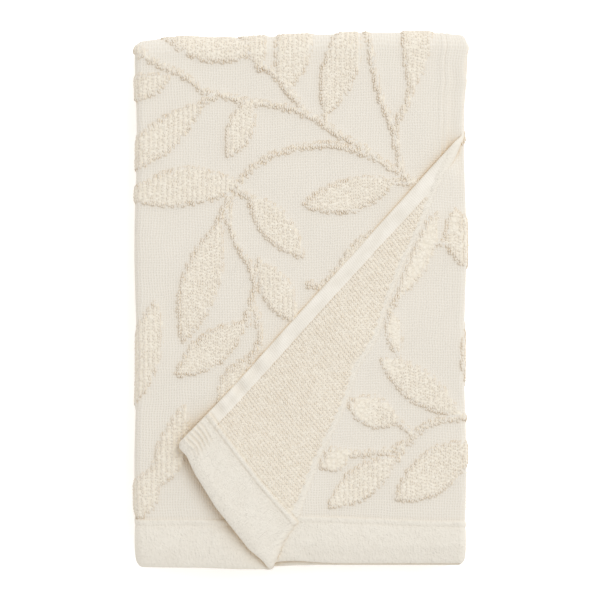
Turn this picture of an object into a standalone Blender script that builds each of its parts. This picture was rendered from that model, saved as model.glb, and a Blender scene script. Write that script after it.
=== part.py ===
"""A cotton hand towel with raised terry leaves, folded for a shelf, with one corner turned back.

The towel is one cloth. It is folded in three along its width: the face panel lies on top, the
back panel lies under it, and the tuck panel lies between them. That strip is then folded in three
along its length, back and forth. Last, the lower free corner of the face panel is turned back over
itself, so that its reverse shows.

X runs across the folded towel, Y runs from its hems to its top fold, and Z is up. The origin is on
the surface that the towel lies on, under the middle of the folded towel.
"""

import math

import bmesh
import bpy
import numpy as np
from mathutils.geometry import intersect_point_tri_2d

MM = 0.001

# The folded towel, seen from above
FOLDED_WIDTH = 138.0 * MM
TOP_FOLD_Y = 111.5 * MM
FACE_HEM_Y = -111.3 * MM
BACK_HEM_Y = -110.9 * MM
TUCK_HEM_Y = -109.9 * MM
BOTTOM_FOLD_Y = -109.2 * MM
HIDDEN_HEM_Y = 108.5 * MM
FACE_SIDE_X = 68.2 * MM
TUCK_SIDE_X = -61.0 * MM

# The cloth
CLOTH = 1.6 * MM
LAYER_PITCH = 2.5 * MM
END_HEM = 20.0 * MM
END_HEM_EXTRA = 0.25 * MM
SIDE_HEM = 8.8 * MM
SIDE_HEM_SUNK = 0.3 * MM
HEM_STEP = 0.6 * MM
CORNER_ROUND = 3.0 * MM
LEAF_RISE = 1.1 * MM
LEAF_SHOULDER = 3.2 * MM

# The corner that is turned back: its fold runs from the hem to the free side
FOLD_FOOT = (-12.4 * MM, -111.5 * MM)
FOLD_HEAD = (68.2 * MM, 66.8 * MM)
TURNED_CORNER = (-52.3 * MM, -60.3 * MM)
ROLL_RADIUS = 1.7 * MM
FLAP_EDGE_HEIGHT = 3.3 * MM
FLAP_HEM_LIFT = 3.0 * MM
FLAP_EASE = 18.0 * MM
HEM_LIFT_REACH = 26.0 * MM
FOLD_WAVE_REACH = 14.0 * MM
FOLD_MARGIN = 6.0 * MM

# The fold's own waviness: distance along it from its foot, and how far it stands out, in mm
FOLD_WAVES = [
    # along, out
    (0, 0.0),
    (23, 0.5),
    (50, -1.0),
    (75, 0.0),
    (90, -1.8),
    (106, 1.4),
    (121, -0.8),
    (137, -1.4),
    (155, 0.0),
    (200, 0.0),
]

# The turned hem's own curve: distance across it from the corner, and how far its edge stands out, in mm
TURNED_HEM_CURVE = [
    # across, out
    (0, -0.8),
    (8, -1.3),
    (18, 0.6),
    (38, 2.4),
    (55, 2.3),
    (68, 2.2),
    (85, 1.0),
]
CURVE_START = (4.0 * MM, 18.0 * MM)
CURVE_FADE = (2.0 * MM, 17.0 * MM)

# The top fold's own curve: place across the plan, and how far the fold stands out, in mm
TOP_FOLD_CURVE = [
    # x, out
    (-72, -0.7),
    (-40, -0.8),
    (-28, -0.3),
    (-15, 0.6),
    (0, 1.25),
    (20, 1.9),
    (40, 1.6),
    (72, 1.7),
]

# How the sides of the folded towel's plan stray from straight lines
SIDE_WAVE = 0.5 * MM
SIDE_WAVE_LENGTH = 92.0 * MM

# What brings the middle of the finished towel's plan to the origin
CENTRE_SHIFT_X = -0.2 * MM
CENTRE_SHIFT_Y = -0.8 * MM

# Terry leaves in mm on the folded plan: the tip, the stalk's end, the width, and the bow to one side
FACE_LEAVES = [
    # tip x, tip y, stalk x, stalk y, width, bow
    (-80, 87, -54, 95, 11, 0),
    (-78, 54, -41, 84, 14, 0),
    (-74, 45, -25, 50, 16, 1),
    (-31, 61, -22, 86, 12, -1),
    (-60, 112, -20, 104, 13, 0),
    (-21, 124, -17, 96, 9, 0),
    (-7, 87, 1, 124, 15.5, 0),
    (10.5, 77, 22, 116, 15.5, 0),
    (46.5, 86, 48.5, 132, 12.5, -1),
    (0, 40, 40, 49, 14, -1),
    (1, 18, -22, 45, 13, 0),
    (-2, -9, -18, 17, 13, 0),
    (-50, -17, -34, 34, 16, 0),
    (-53, -31, -23, -8, 14, 0),
    (-70, -44, -60, 2, 13, 0),
    (-61, -79, -49, -43, 13, -2),
    (-68, -91, -61, -70, 13, 0),
    (-35, -43, -23, -23, 10, 0),
    (14, 10, 31, 29, 7, 0),
]
TUCK_LEAVES = [
    # tip x, tip y, stalk x, stalk y, width, bow
    (66, 64, 75, 88, 10, 0),
    (69, 13, 64, 38, 13, 0),
    (70, -37, 70, -9, 6, 0),
    (41, 0, 57, 36, 11, 0),
    (41, -24, 37, -4, 7, 0),
    (33, -25, 67, -49, 14, 0),
    (19, -43, 41, -52, 13, 0),
    (7, -70, 21, -64, 10, 0),
    (11, -87, 40, -66, 13, 0),
    (39, -83, 72, -60, 17, 0),
]

# Cells of the cloth's grid
PANEL_CELLS = 9
BACK_CELLS = 6
TUCK_CELLS = 7
LEG_CELLS = 14
HIDDEN_LEG_CELLS = 8
TURN_CELLS = 6
SMALL_TURN_CELLS = 5
ROLL_CELLS = 6
FINE_CUTS = 4

# Centres of the two turns across the strip, and of the two turns along it
LEFT_TURN_X = -(FOLDED_WIDTH / 2 - LAYER_PITCH - CLOTH / 2)
RIGHT_TURN_X = FOLDED_WIDTH / 2 - LAYER_PITCH / 2 - CLOTH / 2
STRIP_RADIUS = 1.5 * LAYER_PITCH
STRIP_REACH = STRIP_RADIUS + LAYER_PITCH + CLOTH / 2
TOP_TURN_Y = TOP_FOLD_Y - STRIP_REACH
BOTTOM_TURN_Y = BOTTOM_FOLD_Y + STRIP_REACH
BACK_LEG_Z = LAYER_PITCH + CLOTH / 2
MIDDLE_LEG_Z = BACK_LEG_Z + 2 * STRIP_RADIUS
FRONT_LEG_Z = MIDDLE_LEG_Z + 2 * STRIP_RADIUS

# Distances over the cloth: across it from the free side of the face panel, along it from the hems
FACE_RUN = FACE_SIDE_X - LEFT_TURN_X
LEFT_ARC = math.pi * LAYER_PITCH
BACK_RUN = RIGHT_TURN_X - LEFT_TURN_X
RIGHT_ARC = math.pi * LAYER_PITCH / 2
TUCK_RUN = RIGHT_TURN_X - TUCK_SIDE_X
ACROSS_STOPS = np.cumsum([0, FACE_RUN, LEFT_ARC, BACK_RUN, RIGHT_ARC, TUCK_RUN])
FRONT_RUN = TOP_TURN_Y - FACE_HEM_Y
STRIP_ARC = math.pi * STRIP_RADIUS
MIDDLE_RUN = TOP_TURN_Y - BOTTOM_TURN_Y
BACK_LEG_RUN = HIDDEN_HEM_Y - BOTTOM_TURN_Y
ALONG_STOPS = np.cumsum([0, FRONT_RUN, STRIP_ARC, MIDDLE_RUN, STRIP_ARC, BACK_LEG_RUN])
CLOTH_WIDTH = ACROSS_STOPS[-1]
CLOTH_LENGTH = ALONG_STOPS[-1]

# The turned corner's frame: along the fold, and out from it towards the corner
FOLD_LENGTH = math.dist(FOLD_FOOT, FOLD_HEAD)
FOLD_ALONG = (np.array(FOLD_HEAD) - np.array(FOLD_FOOT)) / FOLD_LENGTH
FOLD_OUT = np.array([FOLD_ALONG[1], -FOLD_ALONG[0]])
BEND_START = np.array(FOLD_FOOT) - FOLD_OUT * (ROLL_RADIUS + CLOTH / 2)
ROLL_ARC = math.pi * ROLL_RADIUS
CORNER_REACH = np.dot((FACE_SIDE_X, FACE_HEM_Y) - BEND_START, FOLD_OUT) - ROLL_ARC
CORNER_MOVE = np.array(TURNED_CORNER) - (FACE_SIDE_X, FACE_HEM_Y)
FLAP_DRAW_IN = -np.dot(TURNED_CORNER - BEND_START, FOLD_OUT) / CORNER_REACH
FLAP_SLIP = np.dot(CORNER_MOVE, FOLD_ALONG) / CORNER_REACH


def smooth_step(value, low, high):
    """0 below low, 1 above high, and an S curve between them."""
    share = np.clip((value - low) / (high - low), 0, 1)
    return share * share * (3 - 2 * share)


def place_across(run):
    """Place across the strip of a distance over the cloth: x, level, and the face's normal in x and level.

    The face panel runs left on the top level, half a turn of one pitch takes the cloth to the bottom
    level, the back panel runs right, and half a turn of half a pitch brings the tuck panel to the middle.
    """
    face, left, back, right = ACROSS_STOPS[1:5]
    left_angle = np.clip((run - face) / LAYER_PITCH, 0, math.pi)
    right_angle = np.clip((run - back) / (LAYER_PITCH / 2), 0, math.pi)
    stretches = [run < face, run < left, run < back, run < right]
    x = np.select(
        stretches,
        [
            FACE_SIDE_X - run,
            LEFT_TURN_X - LAYER_PITCH * np.sin(left_angle),
            LEFT_TURN_X + run - left,
            RIGHT_TURN_X + LAYER_PITCH / 2 * np.sin(right_angle),
        ],
        RIGHT_TURN_X - (run - right),
    )
    level = np.select(
        stretches,
        [
            np.full_like(run, LAYER_PITCH),
            LAYER_PITCH * np.cos(left_angle),
            np.full_like(run, -LAYER_PITCH),
            -LAYER_PITCH / 2 * (1 + np.cos(right_angle)),
        ],
        0,
    )
    normal_x = np.where(run < left, -np.sin(left_angle), np.sin(right_angle))
    normal_level = np.where(run < left, np.cos(left_angle), -np.cos(right_angle))
    return x, level, normal_x, normal_level


def place_along(run):
    """Place along the towel of a distance from its front hems: y and z of the strip's middle, and its normal.

    The front leg runs to the top fold, the middle leg comes back under it, and the back leg goes out again.
    """
    front, top, middle, bottom = ALONG_STOPS[1:5]
    top_angle = np.clip((run - front) / STRIP_RADIUS, 0, math.pi)
    bottom_angle = np.clip((run - middle) / STRIP_RADIUS, 0, math.pi)
    stretches = [run < front, run < top, run < middle, run < bottom]
    y = np.select(
        stretches,
        [
            FACE_HEM_Y + run,
            TOP_TURN_Y + STRIP_RADIUS * np.sin(top_angle),
            TOP_TURN_Y - (run - top),
            BOTTOM_TURN_Y - STRIP_RADIUS * np.sin(bottom_angle),
        ],
        BOTTOM_TURN_Y + run - bottom,
    )
    z = np.where(
        run < middle,
        MIDDLE_LEG_Z + STRIP_RADIUS * (1 + np.cos(top_angle)),
        BACK_LEG_Z + STRIP_RADIUS * (1 + np.cos(bottom_angle)),
    )
    normal_y = np.where(run < middle, np.sin(top_angle), np.sin(bottom_angle))
    normal_z = np.where(run < middle, np.cos(top_angle), -np.cos(bottom_angle))
    return y, z, normal_y, normal_z


def leaf_height(x, y, leaves):
    """Rise of the terry leaves at a place on the plan, from 0 to 1.

    A leaf's half width grows and shrinks along its axis as a sine, and the pile falls off over a shoulder.
    """
    height = np.zeros_like(x)
    for tip_x, tip_y, stalk_x, stalk_y, width, bow in leaves:
        axis = np.array([stalk_x - tip_x, stalk_y - tip_y]) * MM
        length = np.hypot(*axis)
        along = ((x - tip_x * MM) * axis[0] + (y - tip_y * MM) * axis[1]) / length**2
        side = ((y - tip_y * MM) * axis[0] - (x - tip_x * MM) * axis[1]) / length
        wave = np.sin(math.pi * np.clip(along, 0, 1))
        half_width = width * MM / 2 * wave**0.8
        inside = half_width - np.abs(side - bow * MM * wave)
        height = np.maximum(height, np.clip(inside / LEAF_SHOULDER, 0, 1))
    return height


def leaf_rise(across, along):
    """Height of the pile above the ground weave, on the faces that show and round their folds."""
    face, left, back, right = ACROSS_STOPS[1:5]
    front, top = ALONG_STOPS[1:3]
    plan_y = FACE_HEM_Y + along
    face_x = FACE_SIDE_X - across
    tuck_x = RIGHT_TURN_X - (across - right)
    on_front = 1 - smooth_step(along, (front + top) / 2, top)
    on_face = 1 - smooth_step(across, (face + left) / 2, left)
    on_tuck = smooth_step(across, back, (back + right) / 2)
    before_bend = 1 - smooth_step(fold_distance(face_x, plan_y), -FOLD_MARGIN, 0)
    past_flap = smooth_step(fold_distance(tuck_x, plan_y), ROLL_RADIUS, 3 * ROLL_RADIUS)
    face_pile = leaf_height(face_x, plan_y, FACE_LEAVES) * on_face * before_bend
    tuck_pile = leaf_height(tuck_x, plan_y, TUCK_LEAVES) * on_tuck * past_flap
    past_hem = smooth_step(along, END_HEM, END_HEM + LEAF_SHOULDER)
    return LEAF_RISE * on_front * past_hem * np.maximum(face_pile, tuck_pile)


def fold_distance(x, y):
    """Signed distance past the line where the turned corner starts to bend."""
    return (x - BEND_START[0]) * FOLD_OUT[0] + (y - BEND_START[1]) * FOLD_OUT[1]


def fold_position(x, y):
    """Distance along the corner's fold, from its foot."""
    return (x - BEND_START[0]) * FOLD_ALONG[0] + (y - BEND_START[1]) * FOLD_ALONG[1]


def turn_corner_back(x, y, offset, along):
    """Bends the cloth past the fold round a small roll and lays it back on the face panel.

    Past the half turn the cloth lies drawn in by a fixed share, slips a little along the fold, and
    sinks from the roll's height to just above the face panel, less so near the hem, which stands up.
    Returns x, y and the rise above the face panel of a point that is offset from the cloth's middle.
    """
    distance = fold_distance(x, y)
    position = fold_position(x, y)
    angle = np.clip(distance / ROLL_RADIUS, 0, math.pi)
    beyond = np.maximum(distance - ROLL_ARC, 0)
    edge_height = FLAP_EDGE_HEIGHT + FLAP_HEM_LIFT * np.exp(-along / HEM_LIFT_REACH)
    sink = (2 * ROLL_RADIUS - edge_height) * (1 - np.exp(-beyond / FLAP_EASE))
    waves = np.array(FOLD_WAVES) * MM
    wave = np.interp(position, waves[:, 0], waves[:, 1])
    wave = wave * np.exp(-(((distance - ROLL_ARC / 2) / FOLD_WAVE_REACH) ** 2))
    out = np.where(distance < 0, distance, ROLL_RADIUS * np.sin(angle) - FLAP_DRAW_IN * beyond)
    out = out - offset * np.sin(angle) + wave
    position = position + FLAP_SLIP * beyond
    rise = ROLL_RADIUS * (1 - np.cos(angle)) - sink + offset * np.cos(angle)
    turned_x = BEND_START[0] + FOLD_OUT[0] * out + FOLD_ALONG[0] * position
    turned_y = BEND_START[1] + FOLD_OUT[1] * out + FOLD_ALONG[1] * position
    return turned_x, turned_y, rise


def stray(x, y):
    """Small shifts in the plan that keep the folded edges from being ruled lines."""
    towards_top = smooth_step(y, FACE_HEM_Y, TOP_FOLD_Y)
    curve = np.array(TOP_FOLD_CURVE) * MM
    shift_y = np.interp(x, curve[:, 0], curve[:, 1]) * towards_top
    shift_x = SIDE_WAVE * np.sin(2 * math.pi * y / SIDE_WAVE_LENGTH) * x / (FOLDED_WIDTH / 2)
    return x + shift_x, y + shift_y


def round_corners(across, along):
    """Moves points near the cloth's four corners in, so that each corner is a quarter circle."""
    near_across = np.minimum(across, CLOTH_WIDTH - across)
    near_along = np.minimum(along, CLOTH_LENGTH - along)
    step_across = np.clip(1 - near_across / CORNER_ROUND, 0, 1)
    step_along = np.clip(1 - near_along / CORNER_ROUND, 0, 1)
    square = np.maximum(step_across, step_along)
    circle = np.maximum(np.hypot(step_across, step_along), 1e-9)
    shrink = np.where((step_across > 0) & (step_along > 0), square / circle, 1)
    in_across = CORNER_ROUND * step_across * (1 - shrink)
    in_along = CORNER_ROUND * step_along * (1 - shrink)
    across = across + np.where(across < CLOTH_WIDTH / 2, in_across, -in_across)
    along = along + np.where(along < CLOTH_LENGTH / 2, in_along, -in_along)
    return across, along


def turned_hem_shift(x, y, across, along):
    """How far the turned end hem's edge stands out of its straight line."""
    curve = np.array(TURNED_HEM_CURVE) * MM
    on_flap = smooth_step(fold_distance(x, y), *CURVE_START)
    return np.interp(across, curve[:, 0], curve[:, 1]) * on_flap * (1 - smooth_step(along, *CURVE_FADE))


def fold_cloth(across, along, side):
    """Places points of the flat cloth in the folded towel, from their distances over it and their side."""
    across, along = round_corners(across, along)
    front = ALONG_STOPS[1]
    near_end = np.minimum(along, CLOTH_LENGTH - along)
    near_side = np.minimum(across, CLOTH_WIDTH - across)
    face_hem = END_HEM_EXTRA * (1 - smooth_step(along, END_HEM - HEM_STEP, END_HEM + HEM_STEP))
    reverse_hem = END_HEM_EXTRA * (1 - smooth_step(near_end, END_HEM - HEM_STEP, END_HEM + HEM_STEP))
    sunk = SIDE_HEM_SUNK * (1 - smooth_step(near_side, SIDE_HEM - HEM_STEP, SIDE_HEM + HEM_STEP))
    face_offset = CLOTH / 2 + face_hem + leaf_rise(across, along)
    offset = np.where(side > 0, face_offset, sunk - reverse_hem - CLOTH / 2)
    x, level, normal_x, normal_level = place_across(across)
    y, z, normal_y, normal_z = place_along(along)
    face_end, left_end, back_end, right_end = ACROSS_STOPS[1:5]
    back_short = (BACK_HEM_Y - FACE_HEM_Y) * smooth_step(across, face_end, left_end)
    tuck_short = (TUCK_HEM_Y - BACK_HEM_Y) * smooth_step(across, back_end, right_end)
    y = y + (back_short + tuck_short) * (1 - smooth_step(along, 0, front))
    on_flap = (across < face_end) & (along < front)
    y = y - np.where(on_flap, turned_hem_shift(x, y, across, along), 0)
    lifted = level + offset * normal_level
    folded_x = x + offset * normal_x
    folded_y = y + lifted * normal_y
    folded_z = z + lifted * normal_z
    turned_x, turned_y, rise = turn_corner_back(x, y, offset, along)
    folded_x = np.where(on_flap, turned_x, folded_x)
    folded_y = np.where(on_flap, turned_y, folded_y)
    folded_z = np.where(on_flap, FRONT_LEG_Z + LAYER_PITCH + rise, folded_z)
    folded_x, folded_y = stray(folded_x, folded_y)
    return np.stack([folded_x + CENTRE_SHIFT_X, folded_y + CENTRE_SHIFT_Y, folded_z], axis=1)


def grid_lines():
    """The lines of the flat cloth's grid: distances across it, and distances along it."""
    across = [
        np.array([0, CORNER_ROUND]),
        np.array([SIDE_HEM - HEM_STEP, SIDE_HEM + HEM_STEP]),
        np.linspace(SIDE_HEM, ACROSS_STOPS[1], PANEL_CELLS + 1)[1:],
        np.linspace(ACROSS_STOPS[1], ACROSS_STOPS[2], TURN_CELLS + 1)[1:],
        np.linspace(ACROSS_STOPS[2], ACROSS_STOPS[3], BACK_CELLS + 1)[1:],
        np.linspace(ACROSS_STOPS[3], ACROSS_STOPS[4], SMALL_TURN_CELLS + 1)[1:],
        np.linspace(ACROSS_STOPS[4], ACROSS_STOPS[5], TUCK_CELLS + 1)[1:],
    ]
    along = [
        np.array([0, CORNER_ROUND]),
        np.array([END_HEM - HEM_STEP, END_HEM + HEM_STEP]),
        np.linspace(END_HEM, ALONG_STOPS[1], LEG_CELLS + 1)[1:],
        np.linspace(ALONG_STOPS[1], ALONG_STOPS[2], TURN_CELLS + 1)[1:],
        np.linspace(ALONG_STOPS[2], ALONG_STOPS[3], HIDDEN_LEG_CELLS + 1)[1:],
        np.linspace(ALONG_STOPS[3], ALONG_STOPS[4], TURN_CELLS + 1)[1:],
        np.linspace(ALONG_STOPS[4], CLOTH_LENGTH - END_HEM, HIDDEN_LEG_CELLS + 1)[1:],
        np.array([CLOTH_LENGTH]),
    ]
    return np.concatenate(across), np.concatenate(along)


def flat_cloth():
    """A closed slab for the flat cloth: a grid on each side, at heights 1 and -1, and a rim between them."""
    across, along = grid_lines()
    bm = bmesh.new()
    corners = {}
    for side in (1, -1):
        for i, run in enumerate(across):
            for j, length in enumerate(along):
                corners[side, i, j] = bm.verts.new((run, length, side))
    columns, rows = len(across) - 1, len(along) - 1
    for i in range(columns):
        for j in range(rows):
            ring = [(i, j), (i, j + 1), (i + 1, j + 1), (i + 1, j)]
            bm.faces.new([corners[1, *place] for place in ring])
            bm.faces.new([corners[-1, *place] for place in reversed(ring)])
    outline = [(i, 0) for i in range(columns)]
    outline += [(columns, j) for j in range(rows)]
    outline += [(i, rows) for i in range(columns, 0, -1)]
    outline += [(0, j) for j in range(rows, 0, -1)]
    for here, there in zip(outline, outline[1:] + outline[:1]):
        ends = [corners[1, *here], corners[1, *there], corners[-1, *there], corners[-1, *here]]
        bm.faces.new(ends)
    return bm


def shows_leaves(cell):
    """Whether a cell of the flat cloth's face shows in the folded towel, and so needs a fine grid."""
    across, along, side = cell.calc_center_median()
    if side < 0.5 or not END_HEM < along < ALONG_STOPS[1]:
        return False
    plan_y = FACE_HEM_Y + along
    if across > ACROSS_STOPS[4]:
        return fold_distance(RIGHT_TURN_X - (across - ACROSS_STOPS[4]), plan_y) > 0
    face_x = FACE_SIDE_X - across
    covered = intersect_point_tri_2d((face_x, plan_y), FOLD_FOOT, FOLD_HEAD, TURNED_CORNER)
    past_bend = fold_distance(face_x, plan_y) > -2 * FOLD_MARGIN
    return SIDE_HEM < across < ACROSS_STOPS[1] and not covered and not past_bend


def refine(bm):
    """Cuts the cells that show leaves into smaller ones."""
    edges = {edge for cell in bm.faces if shows_leaves(cell) for edge in cell.edges}
    bmesh.ops.subdivide_edges(bm, edges=list(edges), cuts=FINE_CUTS, use_grid_fill=True)


def cut_bend_lines(bm):
    """Cuts the face panel along the lines where the turned corner bends, so that its roll is even."""
    for step in range(ROLL_CELLS + 1):
        start = BEND_START + FOLD_OUT * ROLL_ARC * step / ROLL_CELLS
        point = (FACE_SIDE_X - start[0], start[1] - FACE_HEM_Y, 0)
        geometry = set()
        for cell in bm.faces:
            centre = cell.calc_center_median()
            if centre.x < ACROSS_STOPS[1] and centre.y < ALONG_STOPS[1]:
                geometry.update((cell, *cell.edges, *cell.verts))
        normal = (-FOLD_OUT[0], FOLD_OUT[1], 0)
        bmesh.ops.bisect_plane(bm, geom=list(geometry), dist=1e-5, plane_co=point, plane_no=normal)


def cotton():
    """Undyed cotton: a pale, matt, warm white."""
    material = bpy.data.materials.new("ivory_cotton")
    material.use_nodes = True
    shader = material.node_tree.nodes["Principled BSDF"]
    shader.inputs["Base Color"].default_value = (0.80, 0.74, 0.64, 1)
    shader.inputs["Roughness"].default_value = 0.95
    shader.inputs["Metallic"].default_value = 0
    return material


def build_towel(collection):
    bm = flat_cloth()
    refine(bm)
    cut_bend_lines(bm)
    bmesh.ops.triangulate(bm, faces=bm.faces)
    places = np.array([vertex.co for vertex in bm.verts])
    folded = fold_cloth(places[:, 0], places[:, 1], places[:, 2])
    for vertex, place in zip(bm.verts, folded):
        vertex.co = place
    mesh = bpy.data.meshes.new("towel")
    bm.to_mesh(mesh)
    bm.free()
    mesh.materials.append(cotton())
    mesh.shade_smooth()
    towel = bpy.data.objects.new("towel", mesh)
    collection.objects.link(towel)
    print(f"flat cloth {CLOTH_WIDTH / MM:.1f} x {CLOTH_LENGTH / MM:.1f} mm, {len(mesh.polygons)} triangles")


def main():
    for old in list(bpy.data.objects):
        bpy.data.objects.remove(old)
    collection = bpy.data.collections.new("folded_hand_towel")
    bpy.context.scene.collection.children.link(collection)
    build_towel(collection)


main()
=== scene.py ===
# %% [markdown]
# # A folded hand towel with raised terry leaves
#
# This lesson dresses one part: a cotton hand towel that lies folded, with one corner turned back.
# The cloth is jacquard terry. Its face is a flat weave with leaves and stalks of raised loops, and
# its reverse is loops all over. We make the cloth as one thin sheet on the folds of the packed
# part, and then set real loops of yarn on it wherever the pile shows.

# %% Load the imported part
import math

import bpy
import numpy as np
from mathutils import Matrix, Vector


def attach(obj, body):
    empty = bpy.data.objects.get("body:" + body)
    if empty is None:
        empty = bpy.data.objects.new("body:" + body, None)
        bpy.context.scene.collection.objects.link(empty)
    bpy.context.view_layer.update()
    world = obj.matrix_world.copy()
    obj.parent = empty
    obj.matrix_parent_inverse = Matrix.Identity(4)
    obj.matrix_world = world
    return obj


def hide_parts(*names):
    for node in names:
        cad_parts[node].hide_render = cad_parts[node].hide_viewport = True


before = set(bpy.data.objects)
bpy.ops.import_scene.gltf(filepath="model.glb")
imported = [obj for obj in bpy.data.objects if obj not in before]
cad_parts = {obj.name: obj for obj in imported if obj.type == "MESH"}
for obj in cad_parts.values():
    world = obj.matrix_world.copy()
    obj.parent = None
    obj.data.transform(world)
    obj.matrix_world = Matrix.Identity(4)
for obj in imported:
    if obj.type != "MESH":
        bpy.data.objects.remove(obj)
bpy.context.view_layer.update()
print("packed nodes:", sorted(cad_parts))

# %% [markdown]
# ## Units and small helpers
#
# Cloth is measured in millimetres, so all shapes below are worked out in millimetres and turned to
# metres only when a mesh is made. Colours are written as sRGB hex, the way a picture program shows
# them, and one function turns them to the linear values that a renderer adds up.

# %% Helpers
MM = 0.001
rng = np.random.default_rng(26)


def smooth_step(value, low, high):
    """0 below low, 1 above high, and an S curve between: share squared times (3 minus twice share)."""
    share = np.clip((value - low) / (high - low), 0, 1)
    return share * share * (3 - 2 * share)


def fade(value, low, high):
    """1 below low, 0 above high, and the same S curve between."""
    return 1 - smooth_step(value, low, high)


def bump(value, centre, reach):
    """A bell that is 1 at the centre and has fallen to about a third at the reach."""
    return np.exp(-(((value - centre) / reach) ** 2))


def from_table(table, place):
    """The second column of a table at a place in its first, with straight lines between the rows."""
    return np.interp(place, *zip(*table))


def linear(hex_colour):
    """sRGB hex to linear red, green, blue and 1 for alpha."""
    parts = np.array([int(hex_colour[i : i + 2], 16) for i in (1, 3, 5)]) / 255
    low, high = parts / 12.92, ((parts + 0.055) / 1.055) ** 2.4
    return (*np.where(parts <= 0.04045, low, high), 1)


# %% [markdown]
# ## The folded shape
#
# A towel this size is folded in three along its width: the face panel ends on top, the back panel
# under it, and the tuck panel between them. That strip is folded in three along its length, back
# and forth. Any point of the flat cloth has two distances: across, from the free side of the face
# panel, and along, from the hems in front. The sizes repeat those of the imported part.

# %% Sizes of the folded towel, in mm
FOLDED_WIDTH = 138.0
TOP_FOLD_Y, BOTTOM_FOLD_Y = 111.5, -109.2
FACE_HEM_Y, BACK_HEM_Y, TUCK_HEM_Y, HIDDEN_HEM_Y = -111.3, -110.9, -109.9, 108.5
FACE_SIDE_X, TUCK_SIDE_X = 68.2, -61.0
CLOTH, LAYER_PITCH = 1.6, 2.5
END_HEM, SIDE_HEM, CORNER_ROUND = 20.0, 8.8, 3.0
CENTRE_SHIFT = np.array([-0.2, -0.8, 0.0])

LEFT_TURN_X = -(FOLDED_WIDTH / 2 - LAYER_PITCH - CLOTH / 2)
RIGHT_TURN_X = FOLDED_WIDTH / 2 - LAYER_PITCH / 2 - CLOTH / 2
STRIP_RADIUS = 1.5 * LAYER_PITCH
STRIP_REACH = STRIP_RADIUS + LAYER_PITCH + CLOTH / 2
TOP_TURN_Y, BOTTOM_TURN_Y = TOP_FOLD_Y - STRIP_REACH, BOTTOM_FOLD_Y + STRIP_REACH
BACK_LEG_Z = LAYER_PITCH + CLOTH / 2
MIDDLE_LEG_Z = BACK_LEG_Z + 2 * STRIP_RADIUS
FRONT_LEG_Z = MIDDLE_LEG_Z + 2 * STRIP_RADIUS

ACROSS_RUNS = [
    FACE_SIDE_X - LEFT_TURN_X,
    math.pi * LAYER_PITCH,
    RIGHT_TURN_X - LEFT_TURN_X,
    math.pi * LAYER_PITCH / 2,
    RIGHT_TURN_X - TUCK_SIDE_X,
]
ALONG_RUNS = [
    TOP_TURN_Y - FACE_HEM_Y,
    math.pi * STRIP_RADIUS,
    TOP_TURN_Y - BOTTOM_TURN_Y,
    math.pi * STRIP_RADIUS,
    HIDDEN_HEM_Y - BOTTOM_TURN_Y,
]
FACE_END, LEFT_END, BACK_END, RIGHT_END, WIDTH = np.cumsum(ACROSS_RUNS)
FRONT_END, TOP_END, MIDDLE_END, BOTTOM_END, LENGTH = np.cumsum(ALONG_RUNS)
print(f"flat cloth {WIDTH:.1f} x {LENGTH:.1f} mm")


# %% Folding the strip across and along
def turn_angle(run, start, radius):
    """The angle round a fold that starts at a distance: length over radius, from 0 to half a turn."""
    return np.clip((run - start) / radius, 0, math.pi)


def fold_across(run):
    """x, level, and the face's normal in x and level, of a distance across the cloth.

    Straight on the top level, half a turn down of radius one pitch, straight back on the bottom
    level, half a turn up of radius half a pitch, and straight on the middle level.
    """
    left = turn_angle(run, FACE_END, LAYER_PITCH)
    right = turn_angle(run, BACK_END, LAYER_PITCH / 2)
    stretches = [run < FACE_END, run < LEFT_END, run < BACK_END, run < RIGHT_END]
    arcs_x = [
        FACE_SIDE_X - run,
        LEFT_TURN_X - LAYER_PITCH * np.sin(left),
        LEFT_TURN_X + run - LEFT_END,
        RIGHT_TURN_X + LAYER_PITCH / 2 * np.sin(right),
    ]
    arcs_level = [
        LAYER_PITCH + 0 * run,
        LAYER_PITCH * np.cos(left),
        -LAYER_PITCH + 0 * run,
        -LAYER_PITCH / 2 * (1 + np.cos(right)),
    ]
    x = np.select(stretches, arcs_x, RIGHT_TURN_X - (run - RIGHT_END))
    level = np.select(stretches, arcs_level, 0)
    on_left = run < LEFT_END
    normal_x = np.where(on_left, -np.sin(left), np.sin(right))
    normal_level = np.where(on_left, np.cos(left), -np.cos(right))
    return x, level, normal_x, normal_level


def fold_along(run):
    """y and z of the strip's middle, and its normal in y and z, of a distance along the cloth."""
    top = turn_angle(run, FRONT_END, STRIP_RADIUS)
    bottom = turn_angle(run, MIDDLE_END, STRIP_RADIUS)
    stretches = [run < FRONT_END, run < TOP_END, run < MIDDLE_END, run < BOTTOM_END]
    arcs_y = [
        FACE_HEM_Y + run,
        TOP_TURN_Y + STRIP_RADIUS * np.sin(top),
        TOP_TURN_Y - (run - TOP_END),
        BOTTOM_TURN_Y - STRIP_RADIUS * np.sin(bottom),
    ]
    y = np.select(stretches, arcs_y, BOTTOM_TURN_Y + run - BOTTOM_END)
    upper = run < MIDDLE_END
    upper_z = MIDDLE_LEG_Z + STRIP_RADIUS * (1 + np.cos(top))
    lower_z = BACK_LEG_Z + STRIP_RADIUS * (1 + np.cos(bottom))
    normal_y = np.where(upper, np.sin(top), np.sin(bottom))
    normal_z = np.where(upper, np.cos(top), -np.cos(bottom))
    return y, np.where(upper, upper_z, lower_z), normal_y, normal_z


# %% [markdown]
# ## The turned corner
#
# The lower free corner of the face panel is turned back over the panel. Cloth this thick does not
# crease sharply: it goes round a small roll, pressed flat so that it stands out more than up, and
# then lies down on the panel. It is drawn in a little, because the roll and a slight arch use some
# of its length. Near the hem it stands up off the panel, and that throws the soft shadow.

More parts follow.
